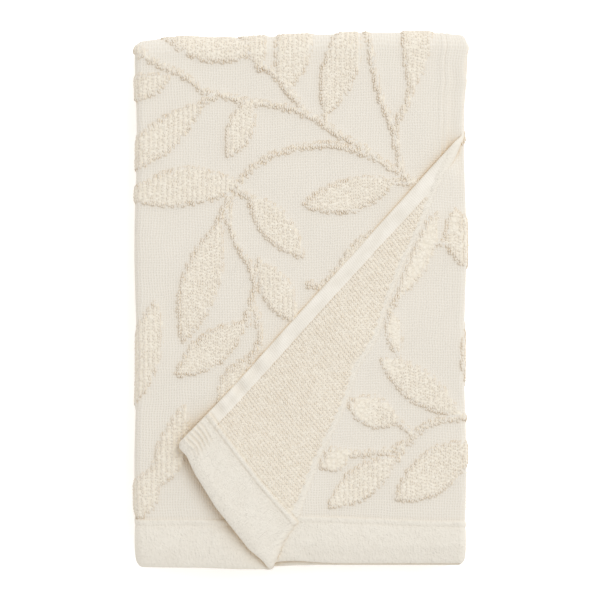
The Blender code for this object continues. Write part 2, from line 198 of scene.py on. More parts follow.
# %% The corner's fold, in mm
FOLD_FOOT, FOLD_HEAD = np.array([-12.4, -111.5]), np.array([68.2, 66.8])
TURNED_CORNER = np.array([-52.3, -60.3])
ROLL_RADIUS, HEAD_RADIUS, HEAD_REACH = 1.3, 1.1, 46.0
ROLL_STRETCH = 1.7
ROLL_ARC = math.pi * ROLL_RADIUS
FLAP_EDGE_HEIGHT, FLAP_HEM_LIFT = 2.2, 3.9
FLAP_EASE, HEM_LIFT_REACH, FOLD_WAVE_REACH = 18.0, 17.0, 14.0

FOLD_LENGTH = np.linalg.norm(FOLD_HEAD - FOLD_FOOT)
FOLD_ALONG = (FOLD_HEAD - FOLD_FOOT) / FOLD_LENGTH
FOLD_OUT = np.array([FOLD_ALONG[1], -FOLD_ALONG[0]])
FLAT_CORNER = np.array([FACE_SIDE_X, FACE_HEM_Y])
BEND_START = FOLD_FOOT - FOLD_OUT * (ROLL_RADIUS * ROLL_STRETCH + CLOTH / 2)
CORNER_REACH = (FLAT_CORNER - BEND_START) @ FOLD_OUT - ROLL_ARC
FLAP_DRAW_IN = -((TURNED_CORNER - BEND_START) @ FOLD_OUT) / CORNER_REACH
FLAP_SLIP = ((TURNED_CORNER - FLAT_CORNER) @ FOLD_ALONG) / CORNER_REACH

FOLD_WAVES = [
    # along the fold from its foot, and how far it stands out there
    (0, 0.0), (12, 0.6), (23, 3.0), (50, 1.5), (75, 2.5), (90, 0.7),
    (106, 3.4), (121, 1.2), (137, 0.4), (155, 0.5), (200, 0.0),
]
print(f"the turned corner is drawn in to {FLAP_DRAW_IN:.3f} of its width")


def fold_position(x, y):
    """Distance along the fold from its foot."""
    return (x - FOLD_FOOT[0]) * FOLD_ALONG[0] + (y - FOLD_FOOT[1]) * FOLD_ALONG[1]


def roll_radius(x, y):
    """The roll's radius: full for most of the fold, and a little less at its head."""
    tight = smooth_step(fold_position(x, y), FOLD_LENGTH - HEAD_REACH, FOLD_LENGTH)
    return ROLL_RADIUS - (ROLL_RADIUS - HEAD_RADIUS) * tight


def fold_distance(x, y):
    """Signed distance past the line where the turned corner starts to bend."""
    past_fold = (x - FOLD_FOOT[0]) * FOLD_OUT[0] + (y - FOLD_FOOT[1]) * FOLD_OUT[1]
    return past_fold + roll_radius(x, y) * ROLL_STRETCH + CLOTH / 2


def face_plan(across, along):
    """x and y of a place of the face panel before its corner is turned back."""
    return FACE_SIDE_X - across, FACE_HEM_Y + along


def on_face_panel(across, along):
    """True on the top layer's face panel, with its turned corner."""
    return (across < FACE_END) & (along < FRONT_END)


def fold_wave(x, y):
    """How far the fold stands out of its straight line, from the table of its waves."""
    return from_table(FOLD_WAVES, fold_position(x, y))


def outside_fold(x, y):
    """How far outside the roll a place of the tuck panel lies."""
    return fold_distance(x, y) - roll_radius(x, y) * ROLL_STRETCH - CLOTH / 2 - fold_wave(x, y)


def turn_corner_back(x, y, offset, along):
    """The face panel's points after the turn, as x, y and rise above the panel's middle.

    Before the bend a point stays. On the roll, which is pressed flat and so stretched outward, it
    goes round by distance over radius. Past the half turn it lies back, at a fixed share of its
    distance, and sinks towards the panel as e to the minus distance over the ease.
    """
    distance, position, radius = fold_distance(x, y), fold_position(x, y), roll_radius(x, y)
    angle = np.clip(distance / radius, 0, math.pi)
    beyond = np.maximum(distance - math.pi * radius, 0)
    edge_height = FLAP_EDGE_HEIGHT + FLAP_HEM_LIFT * np.exp(-along / HEM_LIFT_REACH)
    sink = (2 * radius - edge_height) * (1 - np.exp(-beyond / FLAP_EASE))
    waved = fold_wave(x, y) * bump(distance, ROLL_ARC / 2, FOLD_WAVE_REACH)
    stretch = 1 + (ROLL_STRETCH - 1) * np.sin(angle)
    out = np.where(distance < 0, distance, radius * stretch * np.sin(angle) - FLAP_DRAW_IN * beyond)
    out = out - radius * ROLL_STRETCH - CLOTH / 2 - offset * np.sin(angle) + waved
    position = position + FLAP_SLIP * beyond
    rise = radius * (1 - np.cos(angle)) - sink + offset * np.cos(angle)
    turned_x = FOLD_FOOT[0] + FOLD_OUT[0] * out + FOLD_ALONG[0] * position
    turned_y = FOLD_FOOT[1] + FOLD_OUT[1] * out + FOLD_ALONG[1] * position
    return turned_x, turned_y, rise


# %% [markdown]
# ## From flat cloth to folded towel
#
# One function takes any point of the flat cloth, and how far it stands off the cloth's middle, to
# its place in the folded towel. The sheet and every loop of yarn go through it, so they always
# agree. Hand-folded edges are never ruled lines, so small shifts make them stray.

# %% Folding any point of the cloth
TOP_EDGE = [
    # across the plan, and how far the top fold stands out there
    (-72, -0.5), (-58, -0.4), (-48, 0.4), (-38, -0.3), (-28, -0.2), (-15, 0.7),
    (0, 1.3), (20, 2.0), (32, 2.4), (54, 2.4), (64, 1.9), (72, 1.8),
]
BOTTOM_EDGE = [
    # across the plan, and how far up it the front edges move there, so that below 0 they stand out
    (-72, 0.0), (-45, -0.3), (-28, -0.8), (-13, -1.0), (-6, -0.3), (0, 0.0), (72, 0.0),
]
BOTTOM_EDGE_REACH = 12

# The tuck panel: its lower seam, its hem's shift up the plan beside the fold, and its swell there
TUCK_SEAM_DROP, SEAM_START, SEAM_END, SEAM_ON_BACK, SEAM_ON_TUCK = 2.2, 2, 60, 50, 74
FOOT_LIFT, FOOT_X, FOOT_HALF, FOOT_REACH = 1.4, -8, 13, 15
TUCK_SWELL, TUCK_SWELL_REACH, SWELL_INSIDE = 3.5, 9.0, 3.0
SWELL_AT_HEM, SWELL_HEM, SWELL_HEAD = 0.65, (4, 30), (FOLD_LENGTH - 16, FOLD_LENGTH - 3)

# Sags: of the front edges, of the turned corner's two edges, and of its roll
DROOP, DROOP_REACH, DROOP_OFF_ROLL = 1.3, 9.0, (-25, -6)
FLAP_EDGE_CURL, FLAP_CURL_REACH = 0.8, 5.0
FLAP_SIDE_SAG, FLAP_SAG_REACH, FLAP_SAG_HEM = 1.3, 9.0, (6, 30)
ROLL_DIP, ROLL_DIP_REACH = 1.4, 9.0

# A low unevenness that grows towards the top of the stack, as two crossed waves
SWELL, SWELL_LENGTH, SWELL_PHASE_X, SWELL_PHASE_Y, SWELL_FLOOR = 0.22, 41.0, 0.7, 2.1, 2

# Past the bend, where the turned corner's own shapes begin and where they are full, and its gathers
TURNED = (4, 18)
PUCKER_CENTRE, PUCKER_HALF = SIDE_HEM * 0.4, SIDE_HEM * 0.55
PUCKERS = [
    # place along the turned side hem, half length, and rise
    (23.7, 1.6, -0.5), (27.6, 2.0, 0.9), (32.7, 2.2, 1.0), (36.8, 1.6, -0.5),
    (40.9, 2.4, 1.1), (46.8, 1.8, -0.5), (51.8, 2.6, 0.9), (57.0, 2.0, -0.4),
    (64.0, 2.8, 0.5), (76.0, 3.4, 0.4), (92.0, 3.6, 0.4),
]
FLAP_EDGE = [
    # across the turned end hem from the corner, and how far its edge stands out there
    (0, -0.8), (8, -1.3), (18, 0.6), (38, 2.4), (55, 2.3), (68, 2.2), (85, 1.0),
]
FLAP_EDGE_FADE = (2, 17)
SIDE_WAVE, SIDE_WAVE_LENGTH = 0.5, 92.0
LEFT_EASE, LEFT_EASE_SIDE = 0.9, (40, 68)
SIDE_BULGES = [
    # place up the right side, half length, and how far it stands out
    (106.0, 4.0, 1.2),
    (91.0, 3.0, 0.8),
]
# Places across the plan between which the bulges and the drawn-in corners come in
BULGE_SIDE, CORNER_SIDE = (50, 68), (58, 70)
TOP_CORNERS = [
    # place across the plan, half width, reach below the top fold, and how far it is drawn in
    (-FOLDED_WIDTH / 2 - 2, 7, 30, 1.2),
    (FOLDED_WIDTH / 2 + 1, 5, 20, 0.5),
]
# Place up the plan, half length, and how far it is drawn in
LOW_CORNERS = (FACE_HEM_Y - 1, 3.0, 1.0)
HIGH_CORNER = (TOP_FOLD_Y + 1.5, 2.4, 1.2)


def stray(x, y):
    """Shifts in the plan: the top and front edges tilt, the sides wave, and the corners are drawn in."""
    shift_y = from_table(TOP_EDGE, x) * smooth_step(y, FACE_HEM_Y, TOP_FOLD_Y)
    shift_y = shift_y + from_table(BOTTOM_EDGE, x) * fade(y, FACE_HEM_Y, FACE_HEM_Y + BOTTOM_EDGE_REACH)
    for place, half, reach, drawn_in in TOP_CORNERS:
        shift_y = shift_y - drawn_in * bump(x, place, half) * smooth_step(y, TOP_FOLD_Y - reach, TOP_FOLD_Y)
    shift_x = SIDE_WAVE * np.sin(2 * math.pi * y / SIDE_WAVE_LENGTH) * x / (FOLDED_WIDTH / 2)
    shift_x = shift_x - LEFT_EASE * smooth_step(-x, *LEFT_EASE_SIDE)
    bulges = sum(out * bump(y, place, half) for place, half, out in SIDE_BULGES)
    shift_x = shift_x + bulges * smooth_step(x, *BULGE_SIDE)
    place, half, drawn_in = LOW_CORNERS
    low_corners = drawn_in * bump(y, place, half) * smooth_step(np.abs(x), *CORNER_SIDE) * np.sign(x)
    place, half, drawn_in = HIGH_CORNER
    high_corner = drawn_in * bump(y, place, half) * smooth_step(x, *CORNER_SIDE)
    return x + shift_x - low_corners - high_corner, y + shift_y


def round_corners(across, along):
    """Moves points near the cloth's corners in, so that each corner is a quarter circle."""
    near = [np.minimum(across, WIDTH - across), np.minimum(along, LENGTH - along)]
    step = [np.clip(1 - n / CORNER_ROUND, 0, 1) for n in near]
    shrink = np.maximum(step[0], step[1]) / np.maximum(np.hypot(step[0], step[1]), 1e-9)
    shrink = np.where((step[0] > 0) & (step[1] > 0), shrink, 1)
    move = [CORNER_ROUND * s * (1 - shrink) for s in step]
    across = across + np.where(across < WIDTH / 2, move[0], -move[0])
    along = along + np.where(along < LENGTH / 2, move[1], -move[1])
    return across, along


def panel_hems(x, y, across, along):
    """y with each panel's own hem line, and the tuck panel's lower seam and shifted hem."""
    back_short = (BACK_HEM_Y - FACE_HEM_Y) * smooth_step(across, FACE_END, LEFT_END)
    tuck_short = (TUCK_HEM_Y - BACK_HEM_Y) * smooth_step(across, BACK_END, RIGHT_END)
    y = y + (back_short + tuck_short) * fade(along, 0, FRONT_END)
    at_seam = smooth_step(along, SEAM_START, END_HEM) * fade(along, END_HEM, SEAM_END)
    on_right = smooth_step(across, BACK_END - SEAM_ON_BACK, RIGHT_END)
    on_right = on_right * fade(across, RIGHT_END, RIGHT_END + SEAM_ON_TUCK)
    y = y - TUCK_SEAM_DROP * at_seam * on_right
    return y + FOOT_LIFT * bump(x, FOOT_X, FOOT_HALF) * (across > RIGHT_END) * fade(along, 0, FOOT_REACH)


def sag(distance, across, along, turned, on_flap):
    """How far the front edges, the turned corner's two edges and its roll sink, in mm."""
    off_the_roll = np.where(on_flap, fade(distance, *DROOP_OFF_ROLL), 1)
    droop = DROOP * fade(along, 0, DROOP_REACH) * off_the_roll
    curl = FLAP_EDGE_CURL * fade(along, 0, FLAP_CURL_REACH) * turned
    side = FLAP_SIDE_SAG * fade(across, 0, FLAP_SAG_REACH) * smooth_step(along, *FLAP_SAG_HEM) * turned
    return droop + curl + side + ROLL_DIP * bump(distance, ROLL_ARC / 2, ROLL_DIP_REACH) * on_flap


def tuck_swelling(x, y, across, along):
    """How far the tuck panel swells up beside the roll, in mm.

    Its crest runs a little inside the fold line, so that no groove shows beside the roll. There, out
    of sight under the turned corner, it is higher than the gap and passes through the face panel.
    """
    past_crest = outside_fold(x, y) + SWELL_INSIDE
    swelling = bump(past_crest, 0, np.where(past_crest > 0, TUCK_SWELL_REACH, TUCK_SWELL_REACH / 4))
    swelling = swelling * (SWELL_AT_HEM + (1 - SWELL_AT_HEM) * smooth_step(along, *SWELL_HEM))
    swelling = swelling * fade(fold_position(x, y), *SWELL_HEAD)
    return TUCK_SWELL * swelling * (across > RIGHT_END) * (along < FRONT_END)


def fold_cloth(across, along, offset):
    """Places points of the cloth, offset from its middle towards its face, in the folded towel."""
    across, along = round_corners(across, along)
    x, level, normal_x, normal_level = fold_across(across)
    y, z, normal_y, normal_z = fold_along(along)
    y = panel_hems(x, y, across, along)
    on_flap = on_face_panel(across, along)
    turned = smooth_step(fold_distance(x, y), *TURNED) * on_flap
    y = y - from_table(FLAP_EDGE, across) * turned * fade(along, *FLAP_EDGE_FADE)
    lifted = level + offset * normal_level
    turned_x, turned_y, rise = turn_corner_back(x, y, offset, along)
    folded_x = np.where(on_flap, turned_x, x + offset * normal_x)
    folded_y = np.where(on_flap, turned_y, y + lifted * normal_y)
    folded_z = np.where(on_flap, FRONT_LEG_Z + LAYER_PITCH + rise, z + lifted * normal_z)
    folded_z = folded_z - sag(fold_distance(x, y), across, along, turned, on_flap)
    folded_z = folded_z + tuck_swelling(x, y, across, along)
    puckers = sum(rise * bump(along, place, half) for place, half, rise in PUCKERS)
    folded_z = folded_z + puckers * bump(across, PUCKER_CENTRE, PUCKER_HALF) * turned
    swell = np.sin(2 * math.pi * folded_x / SWELL_LENGTH + SWELL_PHASE_X)
    swell = swell * np.sin(2 * math.pi * folded_y / SWELL_LENGTH + SWELL_PHASE_Y)
    folded_z = folded_z + SWELL * swell * smooth_step(folded_z, SWELL_FLOOR, FRONT_LEG_Z)
    folded_x, folded_y = stray(folded_x, folded_y)
    return np.stack([folded_x, folded_y, folded_z], axis=-1) + CENTRE_SHIFT


# %% [markdown]
# ## The leaf pattern
#
# Leaves and stalks like these are an ordinary jacquard ornament. We lay out our own: each leaf is
# a tip, the end of its stalk, a width and a bow, and each stalk is a short list of places. A leaf's
# half width grows and shrinks along its axis as a sine, so a handful of numbers gives its outline.

# %% Leaves and stalks, in mm on the folded plan
FACE_LEAVES = [
    # tip x, tip y, stalk x, stalk y, width, bow
    (-80, 87, -54, 95, 11, 0),
    (-78, 54, -41, 84, 14, 0),
    (-74, 45, -25, 50, 16, 1),
    (-31, 61, -22, 86, 12, -1),
    (-60, 112, -20, 104, 13, 0),
    (-21, 124, -17, 96, 9, 0),
    (-7, 87, 1, 124, 15.5, 0),
    (10.5, 77, 22, 116, 15.5, 0),
    (46.5, 86, 48.5, 132, 12.5, -1),
    (0, 40, 40, 49, 14, -1),
    (1, 18, -22, 45, 13, 0),
    (-2, -9, -18, 17, 13, 0),
    (-50, -17, -34, 34, 16, 0),
    (-53, -31, -23, -8, 14, 0),
    (-70, -44, -60, 2, 13, 0),
    (-61, -79, -49, -43, 13, -2),
    (-68, -91, -61, -70, 13, 0),
    (-35, -43, -23, -23, 10, 0),
    (14, 10, 31, 29, 7, 0),
]
TUCK_LEAVES = [
    # tip x, tip y, stalk x, stalk y, width, bow
    (66, 64, 75, 88, 10, 0),
    (69, 13, 64, 38, 13, 0),
    (70, -37, 70, -9, 6, 0),
    (41, 0, 57, 36, 11, 0),
    (41, -24, 37, -4, 7, 0),
    (33, -25, 67, -49, 14, 0),
    (19, -43, 41, -52, 13, 0),
    (7, -70, 21, -64, 10, 0),
    (11, -87, 40, -66, 13, 0),
    (39, -83, 72, -60, 17, 0),
]
STALK_WIDTH, LEAF_FULLNESS, OUTSIDE = 2.6, 0.8, -9.0
REPEAT, REPEATS, HEM_MARGIN = 226.0, 3, 1
FACE_STALKS = [
    [(-69, 108), (-66, 105.5), (-58, 100), (-50, 96), (-41, 89), (-32, 87), (-22, 84), (-11, 82), (-3, 80)],
    [(-3, 80), (6, 76), (14, 70), (23, 65), (30, 60), (37, 55), (48, 49)],
    [(-27, 114), (-22, 106), (-17, 100), (-10, 94), (-5, 88), (-1, 83), (2, 78)],
    [(26, 115), (29, 104), (32, 89), (35, 80), (40, 69), (41, 59), (43, 52)],
    [(47, 88), (44, 80), (41, 74), (40, 70)],
    [(-26, 51), (-21, 56), (-13, 61), (-1, 64), (12, 65), (21, 63), (28, 60)],
    [(-26, 48), (-30, 42), (-30, 34), (-27, 25), (-21, 15), (-19, 7)]
    + [(-21, -1), (-18, -7), (-17, -16), (-22, -25)],
    [(-30, 44), (-33, 38), (-35, 32)],
    [(-26, 47), (-22, 44)],
    [(-20, 10), (-17, 17)],
    [(-22, -2), (-23, -9)],
    [(-35, 88), (-41, 84)],
    [(40, 49), (46, 49)],
    [(2, 7), (9, 6), (16, 14)],
    [(-6, 88), (-3, 85)],
    [(10.5, 78), (10, 73)],
]
TUCK_STALKS = [
    [(72, -49), (58, -51), (51, -54), (45, -60), (36, -64), (20, -65), (14, -68)],
    [(41, -52), (47, -57)],
    [(40, -67), (43, -62)],
    [(41, 1), (37, -5)],
    [(55, 24), (61, 23)],
    [(41, -24), (43, -28)],
]


# Ranges over which loops fade out: at the bend, under the turned corner, and round the lower folds
BEND_EDGE, FLAP_MARGIN, LOWER_LEAN = (-2, 1), (2, 5), (0.6, 0.9)


def leaf_inside(x, y, leaves):
    """How far inside the nearest leaf's outline each place is, in mm, and below 0 outside."""
    inside = np.full(np.shape(x), OUTSIDE)
    for tip_x, tip_y, stalk_x, stalk_y, width, bow in leaves:
        axis = np.array([stalk_x - tip_x, stalk_y - tip_y])
        length = np.hypot(*axis)
        along = ((x - tip_x) * axis[0] + (y - tip_y) * axis[1]) / length**2
        side = ((y - tip_y) * axis[0] - (x - tip_x) * axis[1]) / length
        bulge = np.sin(math.pi * np.clip(along, 0, 1))
        half_width = np.where((along > 0) & (along < 1), width / 2 * bulge**LEAF_FULLNESS, OUTSIDE)
        inside = np.maximum(inside, half_width - np.abs(side - bow * bulge))
    return inside


def stalk_inside(x, y, stalks):
    """How far inside the nearest stalk each place is: half its width less the distance to its line."""
    nearest = np.full(np.shape(x), 99.0)
    for places in stalks:
        for (ax, ay), (bx, by) in zip(places, places[1:]):
            share = ((x - ax) * (bx - ax) + (y - ay) * (by - ay)) / ((bx - ax) ** 2 + (by - ay) ** 2)
            share = np.clip(share, 0, 1)
            nearest = np.minimum(nearest, np.hypot(x - ax - share * (bx - ax), y - ay - share * (by - ay)))
    return STALK_WIDTH / 2 - nearest


def ragged(x, y):
    """A small unevenness of the pattern's outline, in mm: woven steps and a few loose loops."""
    steps = np.sin(2.3 * x + 1.7 * np.sin(1.1 * y)) * np.sin(1.9 * y + 1.3 * np.sin(0.9 * x))
    return 0.35 * steps


def pattern_inside(x, y, leaves, stalks):
    """How far inside the pattern each place is, in mm, with the pattern repeated up the cloth."""
    repeats = [y - turn * REPEAT for turn in range(REPEATS)]
    on_leaf = np.max([leaf_inside(x, part, leaves) for part in repeats], axis=0)
    return np.maximum(on_leaf, np.max([stalk_inside(x, part, stalks) for part in repeats], axis=0))


def pile_inside(across, along):
    """How far inside the raised pattern each place of the cloth's face is, in mm.

    The pattern of the face panel comes again on the back panel, the other way round.
    """
    plan_y = FACE_HEM_Y + along
    on_back = pattern_inside(across - (LEFT_END + BACK_END) / 2, plan_y, FACE_LEAVES, FACE_STALKS)
    on_face = pattern_inside(FACE_SIDE_X - across, plan_y, FACE_LEAVES, FACE_STALKS)
    on_tuck = pattern_inside(RIGHT_TURN_X - (across - RIGHT_END), plan_y, TUCK_LEAVES, TUCK_STALKS)
    inside = np.select([across < LEFT_END, across < BACK_END], [on_face, on_back], on_tuck)
    clear_of_hems = np.minimum(along - END_HEM - HEM_MARGIN, across - SIDE_HEM - HEM_MARGIN)
    return np.minimum(inside + ragged(across, along), clear_of_hems)


def under_flap(x, y):
    """1 where the turned corner covers the face panel, by more than a margin, and 0 elsewhere."""
    inside = -fold_distance(x, y)
    for start, end in ((FOLD_FOOT, TURNED_CORNER), (TURNED_CORNER, FOLD_HEAD)):
        edge = end - start
        side = edge[1] * (x - start[0]) - edge[0] * (y - start[1])
        inside = np.minimum(inside, side / np.hypot(*edge))
    return smooth_step(inside, *FLAP_MARGIN)


def pile_shows(across, along):
    """1 where the face can be seen from outside the folded towel, falling to 0 just past its folds."""
    on_front = fade(along, (FRONT_END + TOP_END) / 2, TOP_END)
    on_face = fade(across, (FACE_END + LEFT_END) / 2, LEFT_END)
    on_tuck = smooth_step(across, BACK_END, (BACK_END + RIGHT_END) / 2)
    before_bend = fade(fold_distance(*face_plan(across, along)), *BEND_EDGE)
    before_bend = before_bend * (1 - under_flap(*face_plan(across, along)))
    tuck_x = RIGHT_TURN_X - (across - RIGHT_END)
    past_flap = smooth_step(outside_fold(tuck_x, FACE_HEM_Y + along), *BEND_EDGE)
    return on_front * np.maximum(on_face * before_bend, on_tuck * past_flap)


def lower_pile_shows(across, along):
    """1 on the outermost parts of the lower folds, by the cosine of the cloth's lean from outwards."""
    left = turn_angle(across, FACE_END, LAYER_PITCH)
    right = turn_angle(across, BACK_END, LAYER_PITCH / 2)
    bottom = turn_angle(along, MIDDLE_END, STRIP_RADIUS)
    at_sides = np.maximum(np.sin(left), np.sin(right)) * (along > TOP_END)
    in_front = np.sin(bottom) * (across > LEFT_END) * (across < BACK_END)
    return smooth_step(np.maximum(at_sides, in_front), *LOWER_LEAN)


# %% [markdown]
# ## The cloth's two faces
#
# The sheet is a grid over the flat cloth with a face, a reverse and a rim. Its lines lie close
# together where the towel shows and wide apart inside the folds. Between the leaves the face lies
# low. Under a leaf it is raised, and the loops are sunk in that. The end hems are doubled and
# shorn, so they are soft pillows with a rope and a row of stitches near their inner edge. Every
# free edge is rounded, because it is a fold of cloth and not a cut. Round the turned fold the
# reverse keeps a smooth rim without loops.

# %% How far the face and the reverse stand off the cloth's middle, in mm
MOUND, TERRY_BASE, SIDE_HEM_EXTRA = 0.75, 0.4, 0.2
HEM_EXTRA, HEM_PUFF = 0.15, 0.55
FACE_STITCH, REVERSE_STITCH = END_HEM - 2.6, END_HEM - 2.2
FACE_SEAM_DEPTH, REVERSE_SEAM_DEPTH = 0.4, 1.0
WELT_RISE, WELT_PLACE, WELT_WIDTH = 0.8, END_HEM - 1.0, 1.45
EDGE_ROUND, HEM_ROUND, EDGE_LEAST = 1.25, 2.4, 0.16
RIDGE_PITCH, RIDGE_RISE = 2.2, 0.32
ROPE_SHARE, ROPE_PITCH, PILLOW_FULLNESS, HEM_STEP = 0.2, 1.3, 0.6, 0.4
HEM_STITCH, HEM_STITCH_HALF = 0.15, 0.3
GROOVE, GROOVE_PLACE, GROOVE_HALF = 0.4, END_HEM + 0.6, 0.45
RIM, RIM_EXTRA, RIM_PLACE, RIM_HALF, RIM_EDGE = 1.45, 0.2, 16, 26, 0.8
MOUND_EDGE, SHOWS_EDGE = (-0.9, 1.2), (0, 5)
TROUGH, TROUGH_PLACE, TROUGH_HALF, TROUGH_LEAST = 0.3, 4.9, 2.0, 0.4
TROUGH_START, TROUGH_END = (170, 180), (205, 212)
SIDE_SEAMS = [
    # place across the face, half width, and rise
    (9.4, 0.8, 0.25),
    (7.2, 0.7, 0.25),
    (8.3, 0.5, -0.1),
]
SIDE_STEP, SIDE_STITCH, SIDE_STITCH_HALF = 0.3, 0.1, 0.35
RIDGE_START, RIDGE_END, RIDGE_SIDE = (2, 4), (14, 17), (7, 18)


def rounded_edge(across, along):
    """The share of the full thickness near a free edge, as a quarter circle of the distance d.

    It is the square root of 1 less the square of 1 less d over the edge's radius.
    """
    side = np.minimum(across, WIDTH - across) / EDGE_ROUND
    end = np.minimum(along, LENGTH - along) / HEM_ROUND
    share = np.clip(1 - np.minimum(side, end), 0, 1)
    return np.maximum(np.sqrt(1 - share**2), EDGE_LEAST)


def past_rim(across, along):
    """0 on the fold's smooth rim, where no loops stand, and 1 past it on the reverse."""
    x, y = face_plan(across, along)
    rim = ROLL_ARC * (RIM + RIM_EXTRA * bump(fold_position(x, y), RIM_PLACE, RIM_HALF))
    return smooth_step(fold_distance(x, y), rim - RIM_EDGE, rim + RIM_EDGE)


def reverse_shows(across, along):
    """1 where the turned corner shows the reverse, 0 elsewhere."""
    return smooth_step(fold_distance(*face_plan(across, along)), *SHOWS_EDGE) * on_face_panel(across, along)


def end_hem(across, along, shows, depth, stitch):
    """Extra thickness of an end hem: two layers, a pillow, a roped welt, stitches and a groove.

    The pillow is 4 s (1 less s) to a power. The seam is deep on the reverse, where the hem is
    turned in, and shallow on the face.
    """
    near_end = np.minimum(along, LENGTH - along)
    share = np.clip(near_end / stitch, 0, 1)
    pillow = HEM_PUFF * (4 * share * (1 - share)) ** PILLOW_FULLNESS
    rope = 1 + ROPE_SHARE * np.sin(2 * math.pi * across / ROPE_PITCH)
    welt = depth * WELT_RISE * rope * bump(near_end, WELT_PLACE, WELT_WIDTH)
    groove = GROOVE * bump(near_end, GROOVE_PLACE, GROOVE_HALF)
    stitches = depth * (HEM_STITCH * bump(near_end, stitch, HEM_STITCH_HALF) + groove)
    layers = HEM_EXTRA * fade(near_end, END_HEM - HEM_STEP, END_HEM + HEM_STEP)
    return layers + (pillow * (near_end < stitch) + welt - stitches) * shows


def face_offset(across, along):
    """Height of the face's ground over the cloth's middle, in mm."""
    shows = pile_shows(across, along)
    mound = MOUND * smooth_step(pile_inside(across, along), *MOUND_EDGE) * shows
    hollow = TROUGH_LEAST + smooth_step(along, *TROUGH_START) * fade(along, *TROUGH_END)
    trough = TROUGH * bump(across, TROUGH_PLACE, TROUGH_HALF) * hollow
    seams = sum(rise * bump(across, place, half) for place, half, rise in SIDE_SEAMS)
    side = (seams - trough) * (along > END_HEM) * shows
    hem = end_hem(across, along, shows, FACE_SEAM_DEPTH, FACE_STITCH)
    return (CLOTH / 2 + mound + side + hem) * rounded_edge(across, along)


def reverse_offset(across, along):
    """Height of the reverse's ground under the cloth's middle, in mm, counted down."""
    shows = reverse_shows(across, along)
    near_side = np.minimum(across, WIDTH - across)
    past_hem = smooth_step(near_side, SIDE_HEM - SIDE_STEP, SIDE_HEM + SIDE_STEP)
    past_band = smooth_step(along, END_HEM - 1, END_HEM + 1)
    doubled = SIDE_HEM_EXTRA * (1 - past_hem) * past_band
    stitches = SIDE_STITCH * bump(near_side, SIDE_HEM - 0.2, SIDE_STITCH_HALF) * shows * past_band
    in_band = smooth_step(along, *RIDGE_START) * fade(along, *RIDGE_END) * fade(across, *RIDGE_SIDE)
    ridge_phase = 2 * math.pi * along / RIDGE_PITCH + 0.1 * across + 0.9 * np.sin(across / 2.6 + along / 5)
    ridges = RIDGE_RISE * np.cos(ridge_phase) * in_band * shows
    base = TERRY_BASE * past_hem * (along > END_HEM) * past_rim(across, along) * (across < FACE_END)
    hem = end_hem(across, along, shows, REVERSE_SEAM_DEPTH, REVERSE_STITCH)
    return (CLOTH / 2 + doubled - stitches + ridges + base + hem) * rounded_edge(across, along)


# %% The grid's lines and the sheet's mesh
def lines(*stretches):
    """Grid lines from (start, end, spacing) stretches, each evenly divided, with shared ends once."""
    parts = [np.linspace(a, b, max(2, round((b - a) / step) + 1))[:-1] for a, b, step in stretches]
    return np.concatenate(parts + [[stretches[-1][1]]])


TUCK_SHOWN = 78
ACROSS_LINES = lines(
    (0, 0.3, 0.1),
    (0.3, 1.5, 0.3),
    (1.5, SIDE_HEM - 1, 0.7),
    (SIDE_HEM - 1, SIDE_HEM + 2, 0.25),
    (SIDE_HEM + 2, SIDE_HEM + 10, 0.8),
    (SIDE_HEM + 10, FACE_END, 1.6),
    (FACE_END, LEFT_END, 0.7),
    (LEFT_END, BACK_END, 12),
    (BACK_END, RIGHT_END, 0.5),
    (RIGHT_END, RIGHT_END + TUCK_SHOWN, 1.7),
    (RIGHT_END + TUCK_SHOWN, WIDTH - 2, 10),
    (WIDTH - 2, WIDTH, 0.4),
)
ALONG_LINES = lines(
    (0, 0.3, 0.1),
    (0.3, 1.5, 0.3),
    (1.5, END_HEM - 3.5, 0.5),
    (END_HEM - 3.5, END_HEM + 1.5, 0.25),
    (END_HEM + 1.5, 64, 1.2),
    (64, FRONT_END, 1.8),
    (FRONT_END, TOP_END, 0.6),
    (TOP_END, MIDDLE_END, 14),
    (MIDDLE_END, BOTTOM_END, 1.2),
    (BOTTOM_END, LENGTH - END_HEM, 14),
    (LENGTH - END_HEM, LENGTH - 1.5, 2.4),
    (LENGTH - 1.5, LENGTH, 0.25),
)


def grid_faces(columns, rows, start, flip):
    """Corner numbers of a grid's quads, for points numbered row by row from start."""
    corner = start + (np.arange(columns - 1)[:, None] * rows + np.arange(rows - 1)).ravel()
    ring = [corner, corner + 1, corner + rows + 1, corner + rows]
    return np.stack(ring[::-1] if flip else ring, axis=1)


def rim_faces(columns, rows, other):
    """Quads that join the edge of the first grid to that of the other one."""
    first = np.arange(columns) * rows
    last = first + rows - 1
    side = np.arange(rows)
    outline = np.concatenate([first, (columns - 1) * rows + side[1:], last[-2::-1], side[-2:0:-1]])
    nxt = np.roll(outline, -1)
    return np.stack([outline, nxt, nxt + other, outline + other], axis=1)


def add_mesh(name, points_mm, faces, material):
    """A new object at the origin, with its points in metres and its faces given by corner numbers."""
    mesh = bpy.data.meshes.new(name)
    mesh.from_pydata((points_mm * MM).tolist(), [], faces.tolist())
    mesh.materials.append(material)
    mesh.shade_smooth()
    piece = bpy.data.objects.new(name, mesh)
    bpy.context.scene.collection.objects.link(piece)
    print(name, len(mesh.vertices), "points", len(mesh.polygons), "faces")
    return piece


def add_uv(piece, across, along):
    """A UV map that holds each point's place on the flat cloth, in metres."""
    layer = piece.data.uv_layers.new(name="cloth")
    corners = np.empty(len(piece.data.loops), np.int64)
    piece.data.loops.foreach_get("vertex_index", corners)
    places = np.stack([across[corners], along[corners]], axis=1) * MM
    layer.data.foreach_set("uv", places.astype(np.float32).ravel())


def add_attribute(piece, name, values):
    """A number for each point, which a material can read by its name."""
    attribute = piece.data.attributes.new(name, "FLOAT", "POINT")
    attribute.data.foreach_set("value", np.asarray(values, np.float32))


